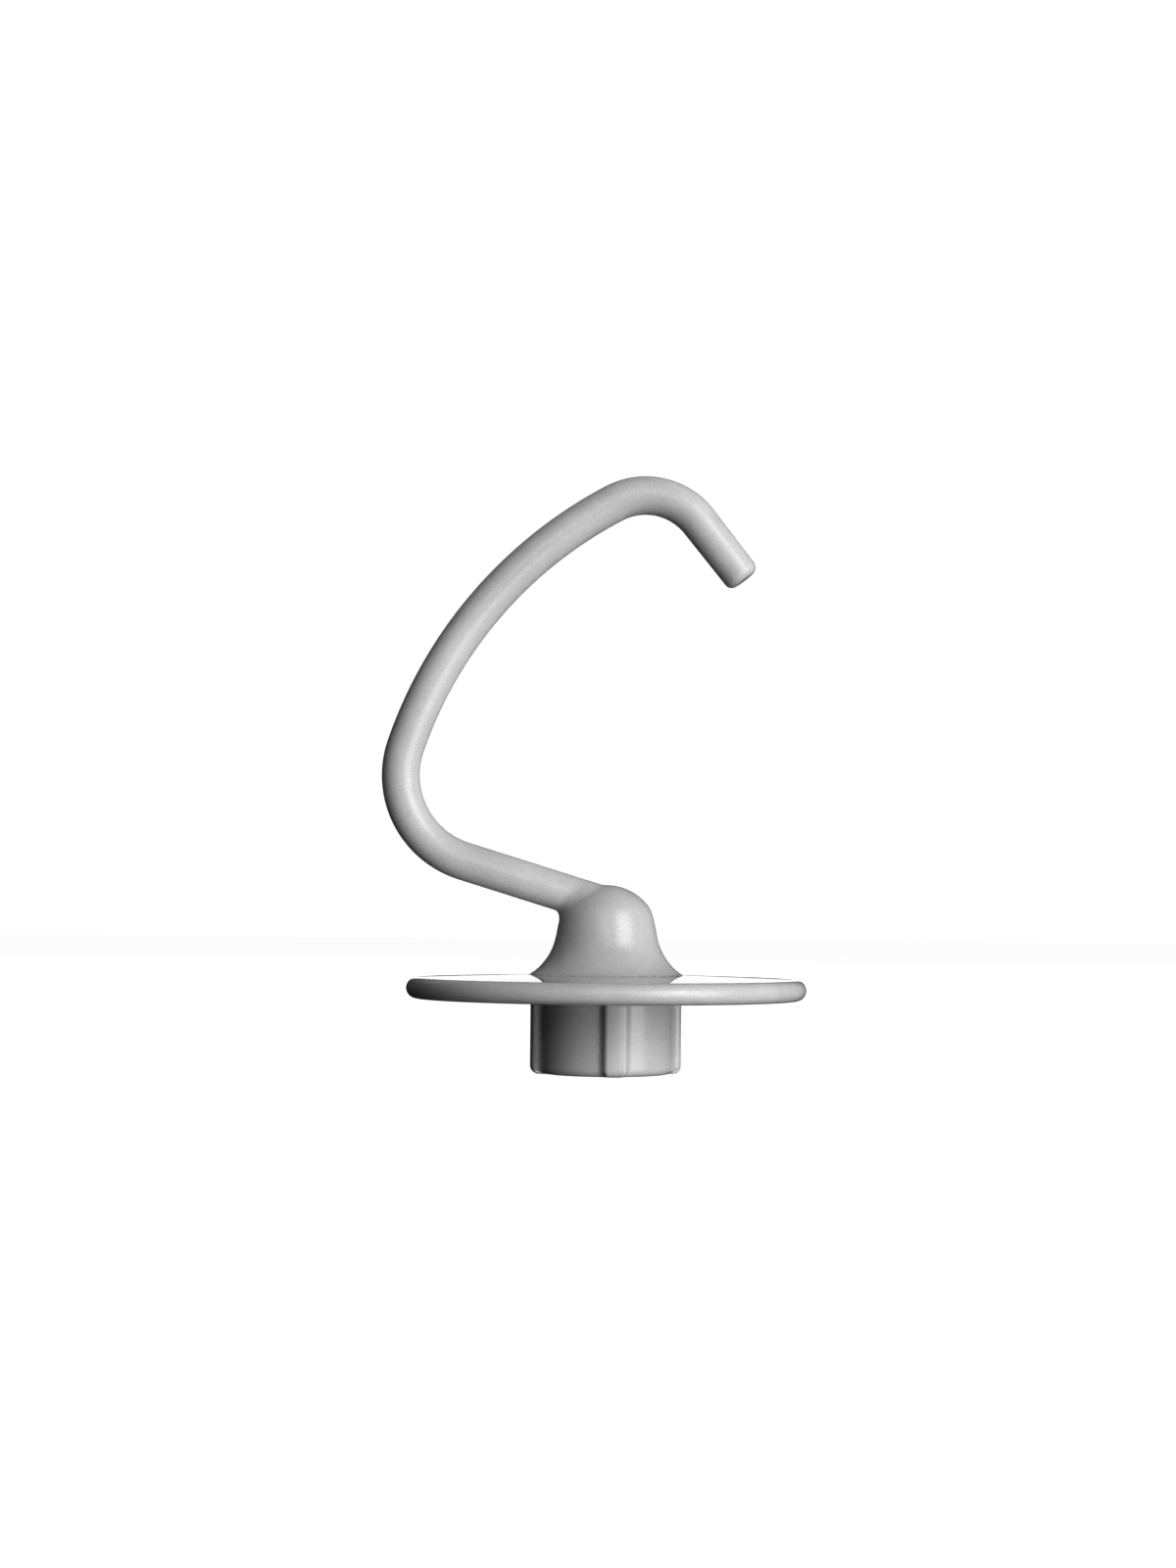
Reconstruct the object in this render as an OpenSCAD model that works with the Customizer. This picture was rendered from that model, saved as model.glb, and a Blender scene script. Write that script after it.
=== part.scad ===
// Coated C-shaped dough hook for a planetary stand mixer, standing on the mouth of its drive socket.
// Frame: millimetres, +Z up along the socket's axis, origin at the centre of the socket's mouth,
// +X to the side that the hook's open mouth faces, Y across the plane of the hook.
// The hook is one casting with one coat on it. Each is divided here at its natural borders.

/* [Drive collar] */
// Radius of the round wall between the ribs
collar_r = 14.75; // [13.5:0.05:15.5]
// Radius over the four grip ribs
rib_r = 16.45; // [16:0.05:17.5]
// Width of a grip rib
rib_w = 5.3; // [4:0.1:7]
// Turn of the ribs about the socket's axis, in degrees
rib_turn = 7.5; // [0:0.5:45]
// Height of the collar, from its mouth to the shield
collar_h = 16.2; // [15:0.1:18]
// Rounding of the collar's lower edge
collar_edge = 1.7; // [1:0.1:2]
// Fillet between the collar and the shield's underside
collar_fillet = 1.2; // [0.6:0.1:2]

/* [Drive socket] */
// Radius of the bore that takes the beater shaft
bore_r = 6.5; // [6.4:0.05:6.8]
// Depth of the bore from the mouth
bore_depth = 27; // [24:0.5:29]
// Lead-in at the bore's mouth
bore_lead = 0.6; // [0.3:0.1:1]
// Width of the slot that the shaft's drive pin slides up
pin_slot_w = 4.8; // [4.6:0.1:5]
// Radius that the pin slot reaches
pin_slot_r = 10.2; // [9.5:0.1:10.5]
// Height at which the pin can be turned aside
pin_slot_h = 12; // [11:0.5:13]
// Turn that locks the hook on the pin, in degrees
lock_turn = 40; // [30:1:42]
// Height of the floor of the level slot
lock_floor = 7.2; // [6.5:0.1:7.5]
// Height of the floor of the pocket that the pin drops into
pocket_floor = 5.6; // [5:0.1:6.4]

/* [Dough shield] */
// Radius of the disc
shield_r = 43.5; // [40:0.5:48]
// Thickness of the disc at its round rim
shield_rim = 4.5; // [4:0.1:5]
// Rise of the disc's upper face towards the hub, in degrees
shield_rise = 1.86; // [1:0.02:3]

/* [Bell hub] */
// Height of the top of the dome above the mouth
dome_top = 41.05; // [40.5:0.05:42]
// Radius of the dome's round cap
dome_r = 11.45; // [11.2:0.05:12]
// Radius at which the cap turns into the bell's side
shoulder_r = 10.05; // [9.9:0.05:10.2]
// Draft of the bell's side, in degrees
bell_draft = 11; // [10:0.5:12]
// Radius of the flare where the bell runs out on the shield
flare_r = 12; // [11.5:0.5:12]
// Depth to which the flare's round would run below the shield's face, which leaves a crease around its foot
flare_sink = 1.34; // [1:0.02:1.6]

/* [Hook arm] */
// Radius of the coated bar along its straight root
root_bar_r = 4.18; // [4:0.02:4.6]
// Radius of the coated bar around the heel
heel_bar_r = 4.16; // [3.9:0.02:4.5]
// Radius of the coated bar along the long sweep, which is drawn a little thinner
sweep_bar_r = 4.12; // [3.9:0.02:4.5]
// Radius of the coated bar around the crown
crown_bar_r = 4.17; // [3.9:0.01:4.5]
// Radius of the coated bar where the straight tip begins
tip_base_r = 4.12; // [3.8:0.02:4.4]
// Radius of the coated bar at its end
tip_r = 3.95; // [3.6:0.05:4.1]
// Rounding of the bar's end
tip_edge = 1.8; // [1:0.1:1.8]
// Height at which the root's centreline meets the socket's axis
root_h = 36.4; // [36:0.1:37]
// Climb of the straight root, in degrees
root_climb = 17.1; // [15:0.1:20]
// Length of the root, from the socket's axis to the first bend
root_len = 32.7; // [30:0.1:36]
// Centreline radius of the heel bend
heel_r = 19.6; // [18:0.1:22]
// Turn of the heel bend, in degrees
heel_turn = 91.4; // [88:0.1:94]
// Centreline radius of the long sweep
sweep_r = 94.3; // [88:0.1:100]
// Turn of the long sweep, in degrees
sweep_turn = 43.4; // [40:0.1:46]
// Centreline radius of the crown bend
crown_r = 14.7; // [13:0.1:17]
// Turn of the crown bend, in degrees
crown_turn = 79.7; // [76:0.1:84]
// Length of the straight tip
tip_len = 16.2; // [14:0.1:20]

/* [Coating] */
// Thickness of the nylon coat
coat = 0.3; // [0.2:0.05:0.5]

/* [Hidden] */
$fn = 96;

metal = [0.78, 0.79, 0.80];
nylon = [0.70, 0.70, 0.70];
over = 1; // how far a cutting shape runs past what it cuts

bare_r = collar_r - collar_edge; // the mouth's face inside this radius is masked and stays bare
seat_r = collar_r - coat; // the hub's column fills the shield's centre hole

// Rim circle of the shield, and the unit normal of its sloping upper face
rim_r = shield_rim / 2;
rim_c = [shield_r - rim_r, collar_h + rim_r];
top_n = [sin(shield_rise), cos(shield_rise)];

// Cap circle of the dome, its shoulder point, and the unit normal of the bell's side
cap_c = [0, dome_top - dome_r];
shoulder = [shoulder_r, cap_c[1] + sqrt(pow(dome_r, 2) - pow(shoulder_r, 2))];
side_n = [cos(bell_draft), sin(bell_draft)];

// The flare's centre lies flare_r off the bell's side, and flare_sink less than that off the
// shield's upper face
side_level = shoulder * side_n + flare_r;
top_level = rim_c * top_n + rim_r + flare_r - flare_sink;
flare_c = [
    (side_level * top_n[1] - top_level * side_n[1]) / cos(bell_draft + shield_rise),
    (top_level * side_n[0] - side_level * top_n[0]) / cos(bell_draft + shield_rise)
];

// Height of the shield's upper face at radius r, sunk into it by inset
function shield_top(r, inset) = (rim_c * top_n + rim_r - inset - r * top_n[0]) / top_n[1];

// Point where the flare's round meets the shield's upper face, with both sunk into the metal by inset
function flare_foot(inset) =
    let (down = flare_r - flare_sink + inset,
         inward = sqrt(pow(flare_r + inset, 2) - pow(down, 2)))
    flare_c - down * top_n - inward * [top_n[1], -top_n[0]];

// Shoulder point of the bell when its whole skin is sunk by inset
function sunk_shoulder(inset) =
    let (start = shoulder - inset * side_n,
         down = [side_n[1], -side_n[0]],
         from_cap = start - cap_c,
         b = from_cap * down,
         c = from_cap * from_cap - pow(dome_r - inset, 2))
    start + (-b - sqrt(pow(b, 2) - c)) * down;

// ---- Bell hub ----

// Half section of the bell. Its skin is sunk by inset, and its foot stands on the shield sunk by base.
module bell_section(inset, base) {
    brow = sunk_shoulder(inset);
    difference() {
        polygon([
            [0, shield_top(0, base)],
            flare_foot(base),
            flare_foot(inset),
            flare_c,
            flare_c - (flare_r + inset) * side_n,
            brow,
            [0, brow[1]]
        ]);
        translate(flare_c) circle(flare_r + inset);
    }
    intersection() {
        translate(cap_c) circle(dome_r - inset);
        translate([0, brow[1]]) square([dome_r, dome_r]);
    }
}

module bell(inset, base) {
    rotate_extrude() bell_section(inset, base);
}

module bore() {
    translate([0, 0, -over]) cylinder(r = bore_r, h = bore_depth + over);
}

module bell_hub() {
    color(metal) difference() {
        union() {
            bell(coat, coat);
            translate([0, 0, collar_h]) cylinder(r = seat_r, h = shield_top(0, 0) - collar_h);
        }
        bore();
    }
}

module hub_coating() {
    color(nylon) difference() {
        rotate_extrude() difference() {
            bell_section(0, coat);
            bell_section(coat, coat);
        }
        root_bar(coat, 0);
    }
}

// ---- Dough shield ----

// Half section of the disc with its skin sunk by inset
module shield_section(inset) {
    polygon([
        [seat_r, collar_h + inset],
        [rim_c[0], collar_h + inset],
        rim_c + (rim_r - inset) * top_n,
        [seat_r, shield_top(seat_r, inset)]
    ]);
    translate(rim_c) circle(rim_r - inset);
}

module dough_shield() {
    color(metal) rotate_extrude() shield_section(coat);
}

module shield_coating() {
    color(nylon) rotate_extrude() difference() {
        union() {
            polygon([
                [seat_r, collar_h],
                [rim_c[0], collar_h],
                rim_c + rim_r * top_n,
                flare_foot(0),
                flare_foot(coat),
                [seat_r, collar_h + 2 * coat]
            ]);
            translate(rim_c) circle(rim_r);
        }
        shield_section(coat);
    }
}

// ---- Drive collar ----

// Round drum of radius r with a rounded lower edge, its skin sunk by inset
module drum(r, inset) {
    rotate_extrude() {
        translate([0, inset]) square([r - collar_edge, collar_h - inset]);
        translate([0, collar_edge]) square([r - inset, collar_h - collar_edge]);
        translate([r - collar_edge, collar_edge]) circle(collar_edge - inset);
        translate([r - inset, collar_h - collar_fillet]) difference() {
            square(collar_fillet);
            translate([collar_fillet + inset, 0]) circle(collar_fillet + inset);
        }
    }
}

module collar_skin(inset) {
    drum(collar_r, inset);
    intersection() {
        drum(rib_r, inset);
        for (turn = [rib_turn, rib_turn + 90])
            rotate(turn)
                translate([-rib_r, inset - rib_w / 2, 0])
                    cube([2 * rib_r, rib_w - 2 * inset, collar_h]);
    }
}

module collar_metal() {
    collar_skin(coat);
    cylinder(r = bare_r, h = 2 * coat);
}

// Plan of a slot as wide as the drive pin's way, at a turn from the way in
module pin_way(turn) {
    intersection() {
        circle(pin_slot_r);
        rotate(turn) translate([0, -pin_slot_w / 2]) square([pin_slot_r + over, pin_slot_w]);
    }
}

// Plan of the level slot that joins the way in to the pocket
module pin_sweep() {
    far = 2 * pin_slot_r;
    pin_way(0);
    pin_way(lock_turn);
    intersection() {
        circle(pin_slot_r);
        polygon([
            [0, 0],
            [far, 0],
            far * [cos(lock_turn / 2), sin(lock_turn / 2)],
            far * [cos(lock_turn), sin(lock_turn)]
        ]);
    }
}

// The drive pin's way in, the level slot above it, and the pocket that the spring seats the pin in
module bayonet() {
    translate([0, 0, -over]) linear_extrude(lock_floor + 2 * over) pin_way(0);
    translate([0, 0, lock_floor]) linear_extrude(pin_slot_h - lock_floor) pin_sweep();
    translate([0, 0, pocket_floor]) linear_extrude(lock_floor + over - pocket_floor) pin_way(lock_turn);
}

module drive_collar() {
    color(metal) difference() {
        collar_metal();
        bore();
        translate([0, 0, -over])
            cylinder(r1 = bore_r + bore_lead + over, r2 = bore_r, h = bore_lead + over);
        bayonet();
    }
}

module collar_coating() {
    color(nylon) difference() {
        collar_skin(0);
        collar_metal();
        cylinder(r = bare_r, h = collar_h);
    }
}

// ---- Hook arm ----

// Round section of the bar: solid where wall is 0, or else a pipe of that wall
module bar_section(r, wall) {
    difference() {
        circle(r);
        if (wall > 0) circle(r - wall);
    }
}

// Each stretch starts at the origin, heads along +Z and puts its children at its far end
module straight(len, r, wall) {
    linear_extrude(len) bar_section(r, wall);
    translate([0, 0, len]) children();
}

module bend(centre_r, turn, r, wall) {
    reach = 2 * (centre_r + r);
    intersection() {
        translate([centre_r, 0, 0]) rotate([90, 90, 0])
            rotate_extrude() translate([centre_r, 0]) bar_section(r, wall);
        translate([-reach, -reach, 0]) cube(2 * reach);
        translate([centre_r, 0, 0]) rotate([0, turn, 0])
            translate([-reach, -reach, -2 * reach]) cube(2 * reach);
    }
    translate([centre_r, 0, 0]) rotate([0, turn, 0]) translate([-centre_r, 0, 0]) children();
}

// Tapered end of the bar with its skin sunk by inset
module tip(inset) {
    len = tip_len - inset;
    edge = tip_edge - inset;
    end_r = tip_r - inset;
    rotate_extrude() {
        polygon([
            [0, 0],
            [tip_base_r - inset, 0],
            [end_r, len - edge],
            [end_r - edge, len],
            [0, len]
        ]);
        translate([end_r - edge, len - edge]) circle(edge);
    }
}

// Places a stretch at the point where the root meets the socket's axis, heading out along the root
module at_root() {
    translate([0, 0, root_h]) rotate([0, root_climb - 90, 0]) children();
}

module root_bar(inset, wall) {
    at_root() straight(root_len, root_bar_r - inset, wall);
}

// The bar from the heel to the end of the crown, with its tip as the child
module bent_bar(inset, wall) {
    at_root() translate([0, 0, root_len])
        bend(heel_r, heel_turn, heel_bar_r - inset, wall)
            bend(sweep_r, sweep_turn, sweep_bar_r - inset, wall)
                bend(crown_r, crown_turn, crown_bar_r - inset, wall)
                    children();
}

module hook_arm() {
    color(metal) {
        difference() {
            root_bar(coat, 0);
            bell(coat, coat);
        }
        bent_bar(coat, 0) tip(coat);
    }
}

module arm_coating() {
    color(nylon) {
        difference() {
            root_bar(0, coat);
            bell(0, coat);
        }
        bent_bar(0, coat) difference() {
            tip(0);
            tip(coat);
        }
    }
}

hook_arm();
bell_hub();
dough_shield();
drive_collar();
arm_coating();
hub_coating();
shield_coating();
collar_coating();
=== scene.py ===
# %% [markdown]
# # A coated dough hook
# This is the C-shaped hook that kneads dough in a stand mixer. It stands upside down here, on the
# mouth of the socket that goes over the mixer's shaft. The real hook is one aluminium casting with
# one skin of silver-grey nylon baked on it. The CAD model divides that casting into an arm, a bell,
# a shield and a collar, with a thin coat on each.
#
# The CAD metal stays as it is and gets a bare-casting material. It shows only inside the socket and
# on the socket's mouth. The four CAD coats are replaced by one continuous coat, because a real
# coat has no joints, and because it rounds every inside corner a little. Everything is in metres.

# %% Load the frame
import math

import bpy
import numpy as np
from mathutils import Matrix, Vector


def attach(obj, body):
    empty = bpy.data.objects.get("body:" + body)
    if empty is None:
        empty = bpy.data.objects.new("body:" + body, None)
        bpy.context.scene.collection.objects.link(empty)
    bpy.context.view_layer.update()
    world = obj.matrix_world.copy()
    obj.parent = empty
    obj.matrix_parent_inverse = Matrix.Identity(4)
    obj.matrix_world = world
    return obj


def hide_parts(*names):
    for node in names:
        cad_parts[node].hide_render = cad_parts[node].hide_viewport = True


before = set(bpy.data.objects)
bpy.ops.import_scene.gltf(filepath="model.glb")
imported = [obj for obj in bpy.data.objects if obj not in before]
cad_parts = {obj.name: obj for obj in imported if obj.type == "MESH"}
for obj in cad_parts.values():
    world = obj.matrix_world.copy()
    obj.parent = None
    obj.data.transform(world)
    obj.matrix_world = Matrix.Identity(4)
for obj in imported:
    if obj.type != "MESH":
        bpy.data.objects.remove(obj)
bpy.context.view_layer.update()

# %% [markdown]
# ## The sizes of the hook
# The hook is drawn by the same rules as the CAD: a collar, a disc and a bell turned about the
# socket's axis, and a bar that runs through one straight, three bends and a straight tip. They are
# written down once, in millimetres, and the coat's shape is worked out from them.

# %% Sizes in millimetres
MM = 0.001

COLLAR_R = 14.75
RIB_R = 16.45
RIB_W = 5.3
RIB_TURN = 7.5
COLLAR_H = 16.2
COLLAR_EDGE = 1.7

SHIELD_R = 43.5
SHIELD_RIM = 4.5
SHIELD_RISE = math.radians(1.86)

DOME_TOP = 41.05
DOME_R = 11.45
SHOULDER_R = 10.05
BELL_DRAFT = math.radians(11)
FLARE_R = 12.0
FLARE_SINK = 1.34

ROOT_H = 36.4
ROOT_CLIMB = math.radians(17.1)
ROOT_LEN = 32.7
TIP_LEN = 16.2
TIP_EDGE = 1.8
# radius and turn of the heel, the long sweep and the crown
BENDS = [(19.6, math.radians(91.4)), (94.3, math.radians(43.4)), (14.7, math.radians(79.7))]
print("bends, radius in mm and turn in degrees:", [(r, round(math.degrees(t), 1)) for r, t in BENDS])

# %% [markdown]
# ## The bar's centreline
# The bar was bent in one plane, so its centreline is a chain of straights and arcs that pass
# smoothly into each other. Each arc is kept as a centre, a radius and the angle where it starts.
# The distance from any point to the chain is then exact, with no need to break it into short steps.

# %% Chain of straights and arcs
def chain_of_the_bar():
    """The stretches of the centreline, as dictionaries of 2D points (x, z) in millimetres."""
    here = np.array([0.0, ROOT_H])
    heading = math.pi - ROOT_CLIMB
    stretches = []

    def go_straight(length):
        nonlocal here
        way = np.array([math.cos(heading), math.sin(heading)])
        stretches.append({"kind": "straight", "start": here.copy(), "way": way, "length": length})
        here = here + length * way

    go_straight(ROOT_LEN)
    for radius, turn in BENDS:
        right = np.array([math.sin(heading), -math.cos(heading)])
        centre = here + radius * right
        start = math.atan2(-right[1], -right[0])
        stretches.append({"kind": "arc", "centre": centre, "radius": radius, "start": start,
                          "turn": turn, "length": radius * turn})
        heading -= turn
        end = start - turn
        here = centre + radius * np.array([math.cos(end), math.sin(end)])
    go_straight(TIP_LEN)
    return stretches


STRETCHES = chain_of_the_bar()
BAR_LENGTH = sum(s["length"] for s in STRETCHES)
print("bar length along its centre, mm:", round(BAR_LENGTH, 1))


# %% Thickness along the bar
# stations along the bar in millimetres from the socket's axis, and the bar's radius at each
THICK_AT = [0, 30, 50, 75, 110, 138, 152, 158, BAR_LENGTH]
THICK_R = [4.18, 4.18, 4.16, 4.12, 4.12, 4.17, 4.17, 4.1, 3.95]


def bar_radius(along):
    """Radius of the coated bar at a distance along it."""
    return np.interp(along, THICK_AT, THICK_R)


# %% [markdown]
# ## The coat as a distance field
# The coat's skin could be joined from a lathe shape, a swept bar and a few boxes with booleans, but
# every joint would stay sharp. Casters round each inside corner so that the metal flows and the
# mould doesn't crack, and powder fills what is left. So the finished skin is described as a
# distance field: a function that says how far a point is from the surface. Fields of simple shapes
# can be joined with a fillet between them. The fillet is a true circle where the shapes meet at a
# right angle, and fuller or flatter elsewhere. That does for the small corners. The bell's wide flare
# has to be a true circle, so it gets a field of its own. Later a rough mesh is pulled onto the field.

# %% Round joins of distance fields
def join_round(a, b, fillet):
    """Union of two fields, with a fillet in the corner between them."""
    short = np.hypot(np.maximum(fillet - a, 0), np.maximum(fillet - b, 0))
    return np.maximum(fillet, np.minimum(a, b)) - short


def meet_round(a, b, edge):
    """What two fields have in common, with the outside edge rounded."""
    over = np.hypot(np.maximum(edge + a, 0), np.maximum(edge + b, 0))
    return np.minimum(-edge, np.maximum(a, b)) + over


# %% Shield and bell
RIM_R = SHIELD_RIM / 2
RIM_C = np.array([SHIELD_R - RIM_R, COLLAR_H + RIM_R])
CAP_Z = DOME_TOP - DOME_R
SHOULDER = np.array([SHOULDER_R, CAP_Z + math.sqrt(DOME_R**2 - SHOULDER_R**2)])
SIDE_N = np.array([math.cos(BELL_DRAFT), math.sin(BELL_DRAFT)])
TOP_N = np.array([math.sin(SHIELD_RISE), math.cos(SHIELD_RISE)])
SHOULDER_SOFT = 0.65
CREASE_FILLET = 0.3

# the flare's centre is FLARE_R off the bell's side, and FLARE_SINK less off the shield's upper face
FLARE_LEVELS = [SHOULDER @ SIDE_N + FLARE_R, RIM_C @ TOP_N + RIM_R + FLARE_R - FLARE_SINK]
FLARE_C = np.linalg.solve([SIDE_N, TOP_N], FLARE_LEVELS)
FOOT_LEAN = math.acos(1 - FLARE_SINK / FLARE_R) + SHIELD_RISE
FOOT_WAY = np.array([math.sin(FOOT_LEAN), math.cos(FOOT_LEAN)])  # from the flare's foot to its centre
print("flare centre, mm:", np.round(FLARE_C, 2), "foot lean, degrees:", round(math.degrees(FOOT_LEAN), 1))


def shield_field(r, z):
    """The disc: a flat cone below and above, thickened by the round of its rim."""
    above = (r - RIM_C[0]) * TOP_N[0] + (z - RIM_C[1]) * TOP_N[1]
    below = RIM_C[1] - z
    past_rim = r - RIM_C[0]
    plate = np.maximum(above, below)
    rim = np.hypot(past_rim, z - RIM_C[1])
    return np.where(past_rim > 0, rim, plate) - RIM_R


def bell_field(r, z):
    """The domed bell: a ball on top of a drafted side."""
    side = (r - SHOULDER[0]) * SIDE_N[0] + (z - SHOULDER[1]) * SIDE_N[1]
    ball = np.hypot(r, np.maximum(z - CAP_Z, 0)) - DOME_R - 2 * np.maximum(CAP_Z - z, 0)
    return meet_round(side, ball, SHOULDER_SOFT)


def head_field(r, z):
    """Shield and bell, and the wide flare between them, which meets the shield at a soft crease."""
    shield = shield_field(r, z)
    from_c = np.stack([r - FLARE_C[0], z - FLARE_C[1]])
    hollow = FLARE_R - np.hypot(*from_c)
    above_foot = from_c[1] * SIDE_N[0] - from_c[0] * SIDE_N[1]
    past_foot = from_c[0] * FOOT_WAY[1] - from_c[1] * FOOT_WAY[0]
    flare = np.maximum(hollow, np.maximum(above_foot, past_foot))
    flared = np.minimum(bell_field(r, z), flare)
    return np.where(z > RIM_C[1], join_round(shield, flared, CREASE_FILLET), shield)


# %% Collar with its four ribs
RIB_EDGE = 0.95
RIB_FOOT = 1.0
COLLAR_FILLET = 1.2


def collar_field(x, y, z):
    """The collar's plan with its ribs, stood up and rounded at its lower edge. It ends in the shield."""
    r = np.hypot(x, y)
    turn = math.radians(RIB_TURN)
    along = np.abs(x * math.cos(turn) + y * math.sin(turn))
    across = np.abs(y * math.cos(turn) - x * math.sin(turn))
    rib_side = np.minimum(along, across) - RIB_W / 2
    ribs = meet_round(r - RIB_R, rib_side, RIB_EDGE)
    plan = join_round(r - COLLAR_R, ribs, RIB_FOOT)
    return np.maximum(meet_round(plan, -z, COLLAR_EDGE), z - RIM_C[1])


# %% Bar and tip
ROOT_BURIED = 6.0  # the bar starts this far out from the socket's axis, still inside the bell


def bar_field(x, y, z):
    """Distance to the bent bar, with its end cut flat and its edge rounded."""
    best = np.full(x.shape, np.inf)
    along = np.zeros(x.shape)
    gone = 0.0
    on_tip = np.zeros(x.shape, bool)
    for i, s in enumerate(STRETCHES):
        if s["kind"] == "straight":
            dx, dz = x - s["start"][0], z - s["start"][1]
            t = dx * s["way"][0] + dz * s["way"][1]
            last = i == len(STRETCHES) - 1
            t_in = np.clip(t, ROOT_BURIED if i == 0 else 0, None if last else s["length"])
            off = np.hypot(dx - t_in * s["way"][0], dz - t_in * s["way"][1])
        else:
            dx, dz = x - s["centre"][0], z - s["centre"][1]
            angle = np.mod(s["start"] - np.arctan2(dz, dx), 2 * math.pi)
            past = angle > (s["turn"] + 2 * math.pi) / 2
            angle = np.where(past, 0.0, np.clip(angle, 0, s["turn"]))
            at = s["start"] - angle
            off = np.hypot(dx - s["radius"] * np.cos(at), dz - s["radius"] * np.sin(at))
            t_in = angle * s["radius"]
        off = np.hypot(off, y)
        nearer = off < best
        best = np.where(nearer, off, best)
        along = np.where(nearer, gone + t_in, along)
        on_tip = nearer if i == len(STRETCHES) - 1 else on_tip
        gone += s["length"]
    tube = best - bar_radius(along)
    tip = STRETCHES[-1]
    end = tip["start"] + tip["length"] * tip["way"]
    past_end = (x - end[0]) * tip["way"][0] + (z - end[1]) * tip["way"][1]
    return np.where(on_tip, meet_round(tube, past_end, TIP_EDGE), tube)


# %% The whole skin
ARM_FILLET = 2.2


def skin_field(p):
    """Distance from each row of p, in millimetres, to the finished skin of the coat."""
    x, y, z = p[:, 0], p[:, 1], p[:, 2]
    r = np.hypot(x, y)
    body = join_round(head_field(r, z), collar_field(x, y, z), COLLAR_FILLET)
    return join_round(body, bar_field(x, y, z), ARM_FILLET)


def slope_of(p, step=0.01):
    """The field and its gradient at each row of p."""
    here = skin_field(p)
    grad = np.empty_like(p)
    for axis in range(3):
        ahead, behind = p.copy(), p.copy()
        ahead[:, axis] += step
        behind[:, axis] -= step
        grad[:, axis] = (skin_field(ahead) - skin_field(behind)) / (2 * step)
    return here, grad


probe = np.array([[0.0, 0.0, DOME_TOP], [0.0, 0.0, 0.0], [SHIELD_R, 0.0, RIM_C[1]]])
print("field on the dome, on the mouth and on the rim:", np.round(skin_field(probe), 3))


# %% [markdown]
# ## The rough hook
# The rough mesh only has to be closed and near the field. Its shape follows a rule all the way: a
# profile turned about an axis, a bar along a path, and one rib repeated at quarter turns. The profile
# is turned in mesh code, and one Geometry Nodes tree adds the bar and the ring of ribs from named inputs.

# %% Helpers for node trees
def new_tree(name, kind, inputs, outputs):
    """A node group of that kind with its named sockets, and its input and output nodes."""
    tree = bpy.data.node_groups.new(name, kind)
    for title, socket, value in inputs:
        item = tree.interface.new_socket(title, in_out="INPUT", socket_type=socket)
        if value is not None:
            item.default_value = value
    for title, socket in outputs:
        tree.interface.new_socket(title, in_out="OUTPUT", socket_type=socket)
    return tree, tree.nodes.new("NodeGroupInput"), tree.nodes.new("NodeGroupOutput")


def add_node(tree, kind, **values):
    """A node with its properties set by name, and its sockets set by title."""
    node = tree.nodes.new(kind)
    for key, value in values.items():
        if hasattr(node, key):
            setattr(node, key, value)
        else:
            node.inputs[key.replace("_", " ")].default_value = value
    return node


def object_of(name, mesh):
    """A new object in the scene, at the origin, that shows the mesh."""
    piece = bpy.data.objects.new(name, mesh)
    bpy.context.scene.collection.objects.link(piece)
    return piece


def triangles_of(mesh):
    mesh.calc_loop_triangles()
    return len(mesh.loop_triangles)


# %% Paths for the rough hook
# outline of the turned blank, as radius and height: collar, disc, flare, bell and dome
BLANK = [(0, 0), (COLLAR_R - 1, 0), (COLLAR_R, 1), (COLLAR_R, COLLAR_H), (SHIELD_R - 2, COLLAR_H),
         (SHIELD_R, RIM_C[1]), (SHIELD_R - 2, RIM_C[1] + RIM_R), (20, 21.4), (15, 23), (12, 27),
         (10, 35), (7, 38.5), (0, DOME_TOP)]


def bar_path(step=1.5):
    """Points along the bar's centre, in millimetres, from inside the bell to the tip's end."""
    points = []
    for i, s in enumerate(STRETCHES):
        first = ROOT_BURIED if i == 0 else 0.0
        count = max(2, int(math.ceil((s["length"] - first) / step)))
        for t in np.linspace(first, s["length"], count, endpoint=i == len(STRETCHES) - 1):
            if s["kind"] == "straight":
                x, z = s["start"] + t * s["way"]
            else:
                at = s["start"] - t / s["radius"]
                x = s["centre"][0] + s["radius"] * math.cos(at)
                z = s["centre"][1] + s["radius"] * math.sin(at)
            points.append((x, 0.0, z))
    return points


def profile_path(count=220):
    """The blank's outline in even steps, in millimetres, from the bottom of the axis to the top."""
    legs = [math.dist(a, b) for a, b in zip(BLANK, BLANK[1:])]
    marks = np.cumsum([0, *legs])
    at = np.linspace(0, marks[-1], count)
    r = np.interp(at, marks, [c[0] for c in BLANK])
    z = np.interp(at, marks, [c[1] for c in BLANK])
    return [(a, 0.0, b) for a, b in zip(r, z)]


def wire(name, points):
    """A mesh of edges in metres, for a curve in Geometry Nodes."""
    mesh = bpy.data.meshes.new(name)
    edges = [(i, i + 1) for i in range(len(points) - 1)]
    mesh.from_pydata([tuple(MM * c for c in p) for p in points], edges, [])
    return object_of(name, mesh)


bar_wire = wire("bar_path", bar_path())
print("bar path points:", len(bar_wire.data.vertices))


# %% A lathe in mesh code
LATHE_STEPS = 180


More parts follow.
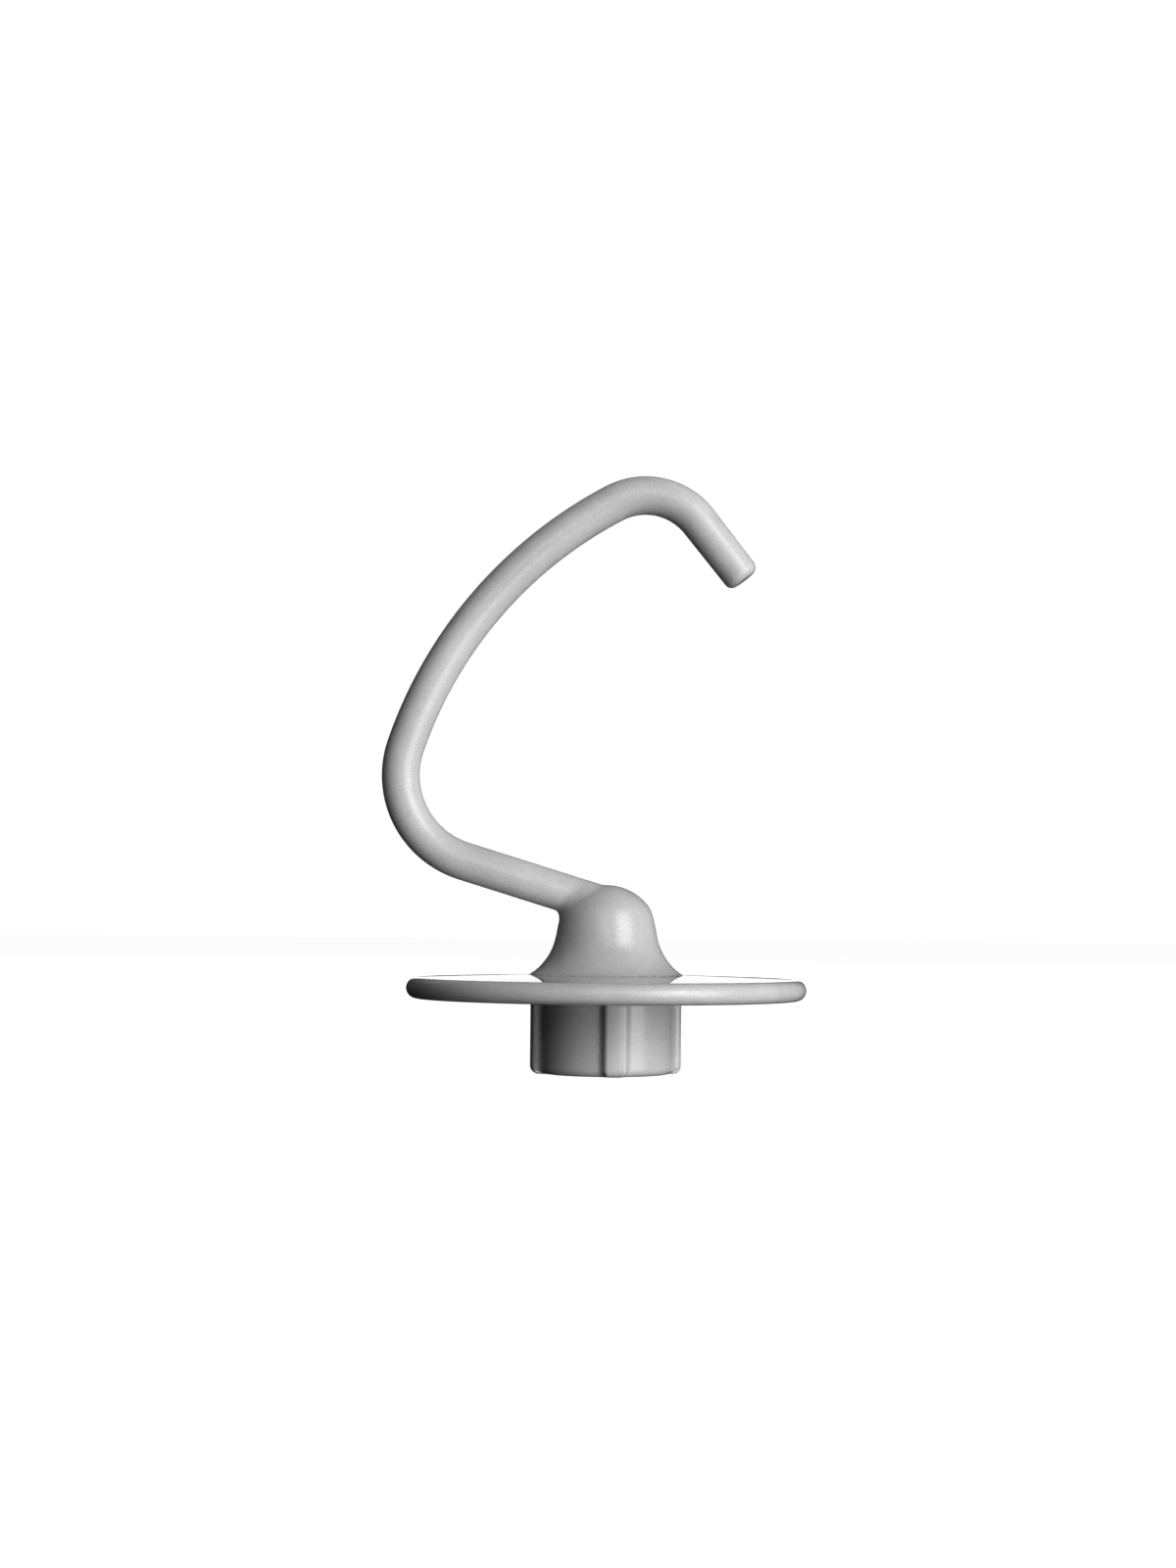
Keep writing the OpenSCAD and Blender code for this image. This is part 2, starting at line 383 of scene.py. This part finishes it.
def turned(name, outline, steps):
    """A closed solid turned from an outline that starts and ends on the Z axis."""
    rings = outline[1:-1]
    verts = [outline[0], outline[-1]]
    for i in range(steps):
        a = 2 * math.pi * i / steps
        verts += [(r * math.cos(a), r * math.sin(a), z) for r, _, z in rings]
    n = len(rings)
    faces = []
    for i in range(steps):
        here, there = 2 + i * n, 2 + (i + 1) % steps * n
        faces.append((0, there, here))
        faces += [(here + k, there + k, there + k + 1, here + k + 1) for k in range(n - 1)]
        faces.append((1, here + n - 1, there + n - 1))
    mesh = bpy.data.meshes.new(name)
    mesh.from_pydata([tuple(MM * c for c in v) for v in verts], [], faces)
    return object_of(name, mesh)


rough = turned("rough_hook", profile_path(), LATHE_STEPS)
print("turned blank, triangles:", triangles_of(rough.data))


# %% Nodes for the bar and the ribs
def rough_tree():
    """A tree that adds the bar along its path and the ring of ribs to the turned blank."""
    tree, start, end = new_tree(
        "bar_and_ribs", "GeometryNodeTree",
        [("Geometry", "NodeSocketGeometry", None), ("Bar path", "NodeSocketObject", None),
         ("Bar radius", "NodeSocketFloat", 0.0041), ("Rib count", "NodeSocketInt", 4),
         ("Rib turn", "NodeSocketFloat", 0.0), ("Rib size", "NodeSocketVector", (0.004, 0.005, 0.016)),
         ("Rib reach", "NodeSocketFloat", 0.014), ("Material", "NodeSocketMaterial", None)],
        [("Geometry", "NodeSocketGeometry")])
    link = tree.links.new

    path = add_node(tree, "GeometryNodeObjectInfo")
    curve = add_node(tree, "GeometryNodeMeshToCurve")
    section = add_node(tree, "GeometryNodeCurvePrimitiveCircle", Resolution=32)
    bar = add_node(tree, "GeometryNodeCurveToMesh", Fill_Caps=True)
    link(start.outputs["Bar path"], path.inputs["Object"])
    link(path.outputs["Geometry"], curve.inputs["Mesh"])
    link(start.outputs["Bar radius"], section.inputs["Radius"])
    link(curve.outputs["Curve"], bar.inputs["Curve"])
    link(section.outputs["Curve"], bar.inputs["Profile Curve"])

    ring = add_node(tree, "GeometryNodeMeshCircle")
    index = add_node(tree, "GeometryNodeInputIndex")
    share = add_node(tree, "ShaderNodeMath", operation="DIVIDE")
    angle = add_node(tree, "ShaderNodeMath", operation="MULTIPLY_ADD")
    angle.inputs[1].default_value = 2 * math.pi
    turn = add_node(tree, "ShaderNodeCombineXYZ")
    block = add_node(tree, "GeometryNodeMeshCube")
    outward = add_node(tree, "GeometryNodeTransform")
    reach = add_node(tree, "ShaderNodeCombineXYZ")
    height = add_node(tree, "ShaderNodeSeparateXYZ")
    half = add_node(tree, "ShaderNodeMath", operation="MULTIPLY")
    half.inputs[1].default_value = 0.5
    place = add_node(tree, "GeometryNodeInstanceOnPoints")
    link(start.outputs["Rib count"], ring.inputs["Vertices"])
    ring.inputs["Radius"].default_value = 0.0
    link(index.outputs[0], share.inputs[0])
    link(start.outputs["Rib count"], share.inputs[1])
    link(share.outputs[0], angle.inputs[0])
    link(start.outputs["Rib turn"], angle.inputs[2])
    link(angle.outputs[0], turn.inputs["Z"])
    link(start.outputs["Rib size"], block.inputs["Size"])
    link(start.outputs["Rib size"], height.inputs[0])
    link(height.outputs["Z"], half.inputs[0])
    link(start.outputs["Rib reach"], reach.inputs["X"])
    link(half.outputs[0], reach.inputs["Z"])
    link(block.outputs["Mesh"], outward.inputs["Geometry"])
    link(reach.outputs[0], outward.inputs["Translation"])
    link(ring.outputs["Mesh"], place.inputs["Points"])
    link(outward.outputs["Geometry"], place.inputs["Instance"])
    link(turn.outputs[0], place.inputs["Rotation"])

    join = add_node(tree, "GeometryNodeJoinGeometry")
    whole = add_node(tree, "GeometryNodeRealizeInstances")
    paint = add_node(tree, "GeometryNodeSetMaterial")
    link(place.outputs["Instances"], join.inputs[0])
    link(bar.outputs["Mesh"], join.inputs[0])
    link(start.outputs["Geometry"], join.inputs[0])
    link(join.outputs[0], whole.inputs[0])
    link(whole.outputs[0], paint.inputs["Geometry"])
    link(start.outputs["Material"], paint.inputs["Material"])
    link(paint.outputs[0], end.inputs[0])
    return tree


def set_inputs(modifier, **values):
    """Sets a Geometry Nodes modifier's inputs, each by the identifier of its named socket."""
    for item in modifier.node_group.interface.items_tree:
        key = item.name.replace(" ", "_").lower()
        if item.in_out == "INPUT" and key in values:
            modifier[item.identifier] = values[key]


ROUGH_BAR_R = 4.1
RIB_BURIED = 4.0  # depth that each rough rib reaches into the collar
RIB_COUNT = 4

nylon = bpy.data.materials.new("grey_nylon")
maker = rough.modifiers.new("bar_and_ribs", "NODES")
maker.node_group = rough_tree()
rib_depth = RIB_R - COLLAR_R + RIB_BURIED
set_inputs(
    maker, bar_path=bar_wire, bar_radius=MM * ROUGH_BAR_R, rib_count=RIB_COUNT,
    rib_turn=math.radians(RIB_TURN - 90), rib_size=(MM * rib_depth, MM * RIB_W, MM * COLLAR_H),
    rib_reach=MM * (RIB_R - rib_depth / 2), material=nylon)
print("rough ribs:", RIB_COUNT, "of depth", round(rib_depth, 2), "mm")

# %% [markdown]
# ## One even skin
# A voxel remesh turns the overlapping blank, bar and ribs into one closed skin of small even faces.
# It leaves steps, so each vertex is then moved along the field's slope until it lies on the true
# surface, with a little smoothing in between to keep the faces even.

# %% Remesh
VOXEL = 0.5


def as_plain_mesh(piece, name):
    """The mesh that the piece has with its modifiers applied."""
    deps = bpy.context.evaluated_depsgraph_get()
    mesh = bpy.data.meshes.new_from_object(
        piece.evaluated_get(deps), preserve_all_data_layers=False, depsgraph=deps)
    mesh.name = name
    return mesh


grid = rough.modifiers.new("even_skin", "REMESH")
grid.mode = "VOXEL"
grid.voxel_size = MM * VOXEL
skin_mesh = as_plain_mesh(rough, "hook_coat")
bpy.data.objects.remove(rough)
bpy.data.objects.remove(bar_wire)
print("remeshed skin, triangles:", triangles_of(skin_mesh))


# %% Pull the skin onto the field
def read_points(mesh):
    """The mesh's vertices in millimetres, one a row."""
    flat = np.empty(3 * len(mesh.vertices))
    mesh.vertices.foreach_get("co", flat)
    return flat.reshape(-1, 3) / MM


def write_points(mesh, points):
    """Moves the mesh's vertices to points given in millimetres."""
    mesh.vertices.foreach_set("co", (points * MM).ravel())
    mesh.update()


def pulled(points, rounds, longest=0.6):
    """Each point moves along the field's slope onto the skin, by no more than longest in a round."""
    for _ in range(rounds):
        here, grad = slope_of(points)
        size = np.maximum((grad**2).sum(1), 0.1)
        step = -(here / size)[:, None] * grad
        length = np.maximum(np.linalg.norm(step, axis=1), 1e-9)
        points = points + step * np.minimum(1, longest / length)[:, None]
    return points


def evened(points, edges):
    """Each point moves halfway to the middle of its neighbours."""
    total = np.zeros_like(points)
    count = np.zeros(len(points))
    for a, b in ((0, 1), (1, 0)):
        np.add.at(total, edges[:, a], points[edges[:, b]])
        np.add.at(count, edges[:, a], 1)
    return 0.5 * (points + total / count[:, None])


edge_ends = np.empty(2 * len(skin_mesh.edges), int)
skin_mesh.edges.foreach_get("vertices", edge_ends)
edge_ends = edge_ends.reshape(-1, 2)
points = pulled(read_points(skin_mesh), rounds=4)
for _ in range(4):
    points = pulled(evened(points, edge_ends), rounds=2)
points = pulled(points, rounds=3)
write_points(skin_mesh, points)
left = np.abs(skin_field(points))
print("skin off the field, mm: mean", round(left.mean(), 4), "worst", round(left.max(), 3))

# %% [markdown]
# ## Open the socket
# The coated skin is closed all over, but the real coat stops at the mouth's rounded edge: the shaft
# needs a bare, true socket. A stepped core is cut out of the skin with an exact boolean. The core's
# walls lie inside the CAD metal, so what shows in the opening is the CAD's own socket.

# %% Cut the core
BARE_R = COLLAR_R - COLLAR_EDGE
NECK_R = 8
STEP_H = 13
CORE_TOP = 28
BELOW = -2
CORE = [(0, BELOW), (BARE_R, BELOW), (BARE_R, STEP_H), (NECK_R, STEP_H), (NECK_R, CORE_TOP), (0, CORE_TOP)]
CORE_STEPS = 96

coat = object_of("hook_coat", skin_mesh)
core = turned("socket_core", [(r, 0, z) for r, z in CORE], CORE_STEPS)
cut = coat.modifiers.new("open_socket", "BOOLEAN")
cut.operation = "DIFFERENCE"
cut.solver = "EXACT"
cut.object = core
open_mesh = as_plain_mesh(coat, "hook_coat_open")
open_mesh.materials.clear()  # the remesh dropped the nylon
open_mesh.materials.append(nylon)
coat.modifiers.clear()
coat.data = open_mesh
bpy.data.meshes.remove(skin_mesh)
bpy.data.objects.remove(core)
print("coat with its socket open, triangles:", triangles_of(open_mesh))

# %% [markdown]
# ## True normals
# Between small faces a renderer guesses the way the surface leans. Here it is known exactly: it is
# the slope of the field. Writing it into the mesh makes every highlight run as smoothly as on the
# real casting. The walls of the core keep their plain flat faces.

# %% Write the normals
ON_SKIN = 0.05  # a vertex this near the field, in millimetres, counts as on the skin
AGREES = 0.3  # lowest cosine between the field's slope and a face's own normal


def lean_as_field(mesh):
    """Gives each corner on the skin the field's slope as its normal, and counts them."""
    points = read_points(mesh)
    here, grad = slope_of(points)
    grad /= np.maximum(np.linalg.norm(grad, axis=1), 1e-9)[:, None]
    on_skin = np.abs(here) < ON_SKIN
    face_normals = np.empty(3 * len(mesh.polygons))
    mesh.polygons.foreach_get("normal", face_normals)
    face_normals = face_normals.reshape(-1, 3)
    corner_vertex = np.empty(len(mesh.loops), int)
    mesh.loops.foreach_get("vertex_index", corner_vertex)
    corner_face = np.repeat(np.arange(len(mesh.polygons)), [p.loop_total for p in mesh.polygons])
    agrees = (grad[corner_vertex] * face_normals[corner_face]).sum(1) > AGREES
    use = on_skin[corner_vertex] & agrees
    normals = np.where(use[:, None], grad[corner_vertex], face_normals[corner_face])
    mesh.polygons.foreach_set("use_smooth", [True] * len(mesh.polygons))
    mesh.normals_split_custom_set(normals.tolist())
    return int(use.sum()), len(use)


print("corners leaning as the field, of all corners:", lean_as_field(open_mesh))
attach(coat, "root")
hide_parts("arm_coating", "hub_coating", "shield_coating", "collar_coating")

# %% [markdown]
# ## The camera
# The camera stands level with the hub, a little over half a metre in front, and does not tip up or
# down, so upright lines stay parallel. The frame is raised by the lens's shift instead, as product
# photographers do. A short telephoto lens keeps the disc a thin band.

# %% Camera
VIEW_FROM = (-0.00406, -0.5475, 0.03335)
VIEW_RAISE = 0.0869
VIEW_ROLL = math.radians(0.48)
VIEW_LENS = 57.7

camera_data = bpy.data.cameras.new("view")
camera_data.lens = VIEW_LENS
camera_data.sensor_width = 36
camera_data.shift_y = VIEW_RAISE
camera_data.clip_start, camera_data.clip_end = 0.01, 20
camera = bpy.data.objects.new("view", camera_data)
bpy.context.scene.collection.objects.link(camera)
camera.location = VIEW_FROM
camera.rotation_euler = (math.radians(90), -VIEW_ROLL, 0)
bpy.context.scene.camera = camera
print("camera, m in front of the hook's axis:", -VIEW_FROM[1])

# %% [markdown]
# ## The studio
# One big softbox stands to the right of the camera. Its middle is about level with the hook. It
# models the round shapes from right to left and leaves a soft window on the dome. A smaller one
# higher up makes the middle of that window brighter, and another above the camera fills the front a
# little. The left of the room stays dark, which gives the left sides of the bar, bell and collar
# their shade.
#
# Two boxes serve whoever walks around the hook. A weak one high behind it puts a little sheen on its
# back. One straight behind lights the back evenly. That one is hidden from reflections, because they
# would draw a bright line round every edge seen from the front.
#
# The floor and the round backdrop are pale to the camera, but they send no light back and cut none
# off, because the hook is to be lit by the softboxes alone. A low card behind the hook is seen only
# in reflections: the disc's top, which is viewed almost edge on, mirrors it and turns white.

# %% Softboxes
def softbox(name, azimuth, elevation, distance, size, watts, target=(0, 0, 0.04)):
    """A rectangular light. Azimuth 0 is at the camera, and 90 is to its right."""
    data = bpy.data.lights.new(name, "AREA")
    data.shape = "RECTANGLE"
    data.size, data.size_y = size
    data.energy = watts
    lamp = bpy.data.objects.new(name, data)
    bpy.context.scene.collection.objects.link(lamp)
    a, e = math.radians(azimuth), math.radians(elevation)
    way = Vector((math.sin(a) * math.cos(e), -math.cos(a) * math.cos(e), math.sin(e)))
    lamp.location = Vector(target) + distance * way
    lamp.rotation_euler = way.to_track_quat("Z", "Y").to_euler()
    return lamp


# azimuth and elevation in degrees, distance and size in metres, and watts
SOFTBOXES = {
    "key_softbox": (44, 5, 1.2, (1.05, 1.2), 19.5),
    "key_core": (40, 27, 1.15, (0.45, 0.6), 3.8),
    "fill_softbox": (0, 22, 1.2, (0.5, 0.6), 2.0),
    "back_softbox": (195, 50, 1.3, (1.2, 1.2), 1.2),
    "back_wash": (180, 5, 1.3, (0.7, 1.0), 8),
}
lamps = {name: softbox(name, *setting) for name, setting in SOFTBOXES.items()}
lamps["back_wash"].visible_glossy = False
print("softboxes:", len(lamps), "of", sum(lamp.data.energy for lamp in lamps.values()), "W together")

# %% Floor, backdrop and reflection card
PAPER_GREY = 0.3
PAPER_ROUGH = 0.9
PAPER_SHINE = 0.1


def paper_sheet(name, corners, faces, glow):
    """Pale paper that belongs to the stage. Its glow keeps it evenly pale."""
    mesh = bpy.data.meshes.new(name)
    mesh.from_pydata(corners, [], faces)
    piece = object_of(name, mesh)
    paper = bpy.data.materials.new(name)
    paper.use_nodes = True
    shader = paper.node_tree.nodes["Principled BSDF"]
    shader.inputs["Base Color"].default_value = (PAPER_GREY, PAPER_GREY, PAPER_GREY, 1)
    shader.inputs["Roughness"].default_value = PAPER_ROUGH
    shader.inputs["Specular IOR Level"].default_value = PAPER_SHINE
    shader.inputs["Emission Color"].default_value = (1, 1, 1, 1)
    shader.inputs["Emission Strength"].default_value = glow
    mesh.materials.append(paper)
    return piece


ROOM_R = 4.0
ROOM_SIDES = 64
WALL_H = 5.0
FLOOR_GLOW = 0.965
WALL_GLOW = 1.0
turns = np.linspace(0, 2 * math.pi, ROOM_SIDES, endpoint=False)
around = [(ROOM_R * math.sin(a), ROOM_R * math.cos(a)) for a in turns]
wall_corners = [(x, y, z) for z in (0, WALL_H) for x, y in around]
wall_faces = [(i, (i + 1) % ROOM_SIDES, (i + 1) % ROOM_SIDES + ROOM_SIDES, i + ROOM_SIDES)
              for i in range(ROOM_SIDES)]
floor = paper_sheet("floor", [(x, y, 0) for x, y in reversed(around)], [tuple(range(ROOM_SIDES))],
                    FLOOR_GLOW)
backdrop = paper_sheet("backdrop", wall_corners, wall_faces, WALL_GLOW)
for sheet in (floor, backdrop):
    sheet.visible_diffuse = False
    sheet.visible_glossy = False
    sheet.visible_shadow = False

CARD_HALF = 0.22
CARD_AWAY = 1.5
CARD_FOOT, CARD_HEAD = 0.045, 0.2
CARD_GLOW = 1.1
card_corners = [(x, CARD_AWAY, z) for x, z in ((-CARD_HALF, CARD_FOOT), (CARD_HALF, CARD_FOOT),
                                               (CARD_HALF, CARD_HEAD), (-CARD_HALF, CARD_HEAD))]
card = paper_sheet("low_card", card_corners, [(0, 1, 2, 3)], CARD_GLOW)
card.visible_camera = False
card.visible_diffuse = False
print("stage sheets:", [sheet.name for sheet in (floor, backdrop, card)])

# %% The room's own light
ROOM_GLOW = 0.012
world = bpy.data.worlds.new("studio")
world.use_nodes = True
world.node_tree.nodes["Background"].inputs[0].default_value = (ROOM_GLOW, ROOM_GLOW, ROOM_GLOW, 1)
bpy.context.scene.world = world
bpy.context.scene.view_settings.view_transform = "Standard"

# %% [markdown]
# ## One grain for two finishes
# Both finishes have the same kind of small unevenness, at different strengths. Baked powder flows
# into a gentle orange peel with a fine grain in it, and cast metal keeps the grain of its mould.
# The pattern is a shader node group. It reads Object coordinates, so it stays on the piece. It gives
# out a height for bumps, a tone for the colour, and a gloss value for the roughness.

# %% Grain group
FLECK_SHARE = 0.35
GRAIN_IN_GLOSS = 0.5


def grain_group():
    """Orange peel, fine grain, flecks and clouds, given out as a height, a tone and a gloss value."""
    tree, start, end = new_tree(
        "surface_grain", "ShaderNodeTree",
        [("Peel scale", "NodeSocketFloat", 700.0), ("Grain scale", "NodeSocketFloat", 3600.0),
         ("Grain share", "NodeSocketFloat", 0.3), ("Cloud scale", "NodeSocketFloat", 45.0)],
        [("Height", "NodeSocketFloat"), ("Tone", "NodeSocketFloat"), ("Gloss", "NodeSocketFloat")])
    link = tree.links.new
    place = add_node(tree, "ShaderNodeTexCoord")

    peel = add_node(tree, "ShaderNodeTexNoise", Detail=1.5, Roughness=0.45)
    grain = add_node(tree, "ShaderNodeTexNoise", Detail=2.0, Roughness=0.6)
    flakes = add_node(tree, "ShaderNodeTexVoronoi", feature="F1")
    clouds = add_node(tree, "ShaderNodeTexNoise", Detail=3.0, Roughness=0.55)
    for texture, title in ((peel, "Peel scale"), (grain, "Grain scale"), (flakes, "Grain scale"),
                           (clouds, "Cloud scale")):
        link(place.outputs["Object"], texture.inputs["Vector"])
        link(start.outputs[title], texture.inputs["Scale"])

    height = add_node(tree, "ShaderNodeMix", data_type="FLOAT")
    link(start.outputs["Grain share"], height.inputs["Factor"])
    link(peel.outputs[0], height.inputs[2])
    link(grain.outputs[0], height.inputs[3])
    link(height.outputs[0], end.inputs["Height"])

    fleck = add_node(tree, "ShaderNodeSeparateColor")
    tone = add_node(tree, "ShaderNodeMath", operation="MULTIPLY_ADD")
    tone.inputs[1].default_value = FLECK_SHARE
    link(flakes.outputs["Color"], fleck.inputs[0])
    link(fleck.outputs[0], tone.inputs[0])
    link(clouds.outputs[0], tone.inputs[2])
    link(tone.outputs[0], end.inputs["Tone"])

    gloss = add_node(tree, "ShaderNodeMath", operation="MULTIPLY_ADD")
    gloss.inputs[1].default_value = GRAIN_IN_GLOSS
    link(grain.outputs[0], gloss.inputs[0])
    link(clouds.outputs[0], gloss.inputs[2])
    link(gloss.outputs[0], end.inputs["Gloss"])
    return tree


GRAIN = grain_group()
TONE_SPAN = (0.4, 0.95)  # range that the group's tone really covers
GLOSS_SPAN = (0.5, 1.0)
print("grain group's outputs:", [item.name for item in GRAIN.interface.items_tree if item.in_out == "OUTPUT"])


# %% Helpers for the materials
def place_grain(tree, peel, grain, share):
    """The grain group in a material, with the material's own scales."""
    node = add_node(tree, "ShaderNodeGroup")
    node.node_tree = GRAIN
    node.inputs["Peel scale"].default_value = peel
    node.inputs["Grain scale"].default_value = grain
    node.inputs["Grain share"].default_value = share
    return node


def add_range(tree, source, low_in, high_in, low_out, high_out):
    """Stretches a value from one range to another."""
    node = add_node(tree, "ShaderNodeMapRange")
    for i, value in enumerate((low_in, high_in, low_out, high_out), 1):
        node.inputs[i].default_value = value
    tree.links.new(source, node.inputs[0])
    return node.outputs[0]


def two_tone(tree, mask, dark, light):
    """Mixes two colours by a mask."""
    mix = add_node(tree, "ShaderNodeMix", data_type="RGBA")
    mix.inputs[6].default_value = (*dark, 1)
    mix.inputs[7].default_value = (*light, 1)
    tree.links.new(mask, mix.inputs[0])
    return mix.outputs[2]


# %% [markdown]
# ## The nylon coat
# The coat is a silver-grey nylon with a little metal flake in it. Its sheen is soft, so the softbox
# shows as a blurred window and not as a sharp one. The flake gives it a fine speckle, and thicker
# and thinner patches of powder make the tone drift very slightly. Seen almost edge on, the small
# unevenness no longer scatters the light, and the coat mirrors like polish. A Layer Weight node
# lowers the roughness there. That is why the disc's top shows a clear image of the bell's foot.

# %% Nylon coat
NYLON_DARK = (0.39, 0.39, 0.39)
NYLON_LIGHT = (0.53, 0.53, 0.53)
NYLON_ROUGH = (0.23, 0.29)
NYLON_FLAT_VIEW = (0.78, 0.925)  # the roughness begins and ends its fall at these Facing values
NYLON_POLISH = 0.1  # share of the roughness that is left in a flat view
NYLON_SHINE = 0.42

nylon.use_nodes = True
nylon_nodes = nylon.node_tree
nylon_link = nylon_nodes.links.new
nylon_shader = nylon_nodes.nodes["Principled BSDF"]
nylon_shader.inputs["Specular IOR Level"].default_value = NYLON_SHINE
nylon_grain = place_grain(nylon_nodes, peel=650, grain=4200, share=0.25)

nylon_tone = add_range(nylon_nodes, nylon_grain.outputs["Tone"], *TONE_SPAN, 0, 1)
nylon_colour = two_tone(nylon_nodes, nylon_tone, NYLON_DARK, NYLON_LIGHT)
nylon_link(nylon_colour, nylon_shader.inputs["Base Color"])

nylon_facing = add_node(nylon_nodes, "ShaderNodeLayerWeight", Blend=0.5)
nylon_matt = add_range(nylon_nodes, nylon_facing.outputs["Facing"], *NYLON_FLAT_VIEW, 1.0, NYLON_POLISH)
nylon_face_on = add_range(nylon_nodes, nylon_grain.outputs["Gloss"], *GLOSS_SPAN, *NYLON_ROUGH)
nylon_rough = add_node(nylon_nodes, "ShaderNodeMath", operation="MULTIPLY")
nylon_link(nylon_face_on, nylon_rough.inputs[0])
nylon_link(nylon_matt, nylon_rough.inputs[1])
nylon_link(nylon_rough.outputs[0], nylon_shader.inputs["Roughness"])

nylon_bump = add_node(nylon_nodes, "ShaderNodeBump", Strength=0.25, Distance=0.00002)
nylon_link(nylon_grain.outputs["Height"], nylon_bump.inputs["Height"])
nylon_link(nylon_bump.outputs[0], nylon_shader.inputs["Normal"])
print("nylon nodes:", len(nylon_nodes.nodes))

# %% [markdown]
# ## The bare casting
# Inside the socket and on its mouth the aluminium is bare. The bore is reamed to size after
# casting and the mouth is faced flat, and both tools leave fine rings. The rings follow from the
# place alone: inside the bore they are stacked along Z, and on the mouth they grow with the radius.

# %% Bare aluminium
ALU_DARK = (0.46, 0.465, 0.47)
ALU_LIGHT = (0.63, 0.635, 0.64)
ALU_ROUGH = (0.34, 0.52)

alu = bpy.data.materials.new("bare_casting")
alu.use_nodes = True
alu_nodes = alu.node_tree
alu_link = alu_nodes.links.new
alu_shader = alu_nodes.nodes["Principled BSDF"]
alu_shader.inputs["Metallic"].default_value = 1.0
alu_grain = place_grain(alu_nodes, peel=1500, grain=5200, share=0.6)
alu_tone = add_range(alu_nodes, alu_grain.outputs["Tone"], *TONE_SPAN, 0, 1)
alu_link(two_tone(alu_nodes, alu_tone, ALU_DARK, ALU_LIGHT), alu_shader.inputs["Base Color"])
alu_rough = add_range(alu_nodes, alu_grain.outputs["Gloss"], *GLOSS_SPAN, *ALU_ROUGH)
alu_link(alu_rough, alu_shader.inputs["Roughness"])

# %% Turning rings
RING_PITCH = 0.00035
RING_SHARE = 0.25

alu_place = add_node(alu_nodes, "ShaderNodeTexCoord")
alu_axes = add_node(alu_nodes, "ShaderNodeSeparateXYZ")
alu_flat = add_node(alu_nodes, "ShaderNodeCombineXYZ")
alu_radius = add_node(alu_nodes, "ShaderNodeVectorMath", operation="LENGTH")
ring_place = add_node(alu_nodes, "ShaderNodeMath", operation="ADD")
ring_pitch = add_node(alu_nodes, "ShaderNodeMath", operation="MULTIPLY")
ring_wave = add_node(alu_nodes, "ShaderNodeMath", operation="SINE")
ring_height = add_node(alu_nodes, "ShaderNodeMath", operation="MULTIPLY_ADD")
ring_pitch.inputs[1].default_value = 2 * math.pi / RING_PITCH
ring_height.inputs[1].default_value = RING_SHARE
alu_link(alu_place.outputs["Object"], alu_axes.inputs[0])
for axis in ("X", "Y"):
    alu_link(alu_axes.outputs[axis], alu_flat.inputs[axis])
alu_link(alu_flat.outputs[0], alu_radius.inputs[0])
alu_link(alu_radius.outputs["Value"], ring_place.inputs[0])
alu_link(alu_axes.outputs["Z"], ring_place.inputs[1])
alu_link(ring_place.outputs[0], ring_pitch.inputs[0])
alu_link(ring_pitch.outputs[0], ring_wave.inputs[0])
alu_link(ring_wave.outputs[0], ring_height.inputs[0])
alu_link(alu_grain.outputs["Height"], ring_height.inputs[2])
alu_bump = add_node(alu_nodes, "ShaderNodeBump", Strength=0.4, Distance=0.00004)
alu_link(ring_height.outputs[0], alu_bump.inputs["Height"])
alu_link(alu_bump.outputs[0], alu_shader.inputs["Normal"])

for name in ("hook_arm", "bell_hub", "dough_shield", "drive_collar"):
    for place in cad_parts[name].material_slots:
        place.link = "OBJECT"
        place.material = alu
print("bare metal nodes:", sum(not o.hide_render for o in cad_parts.values()))
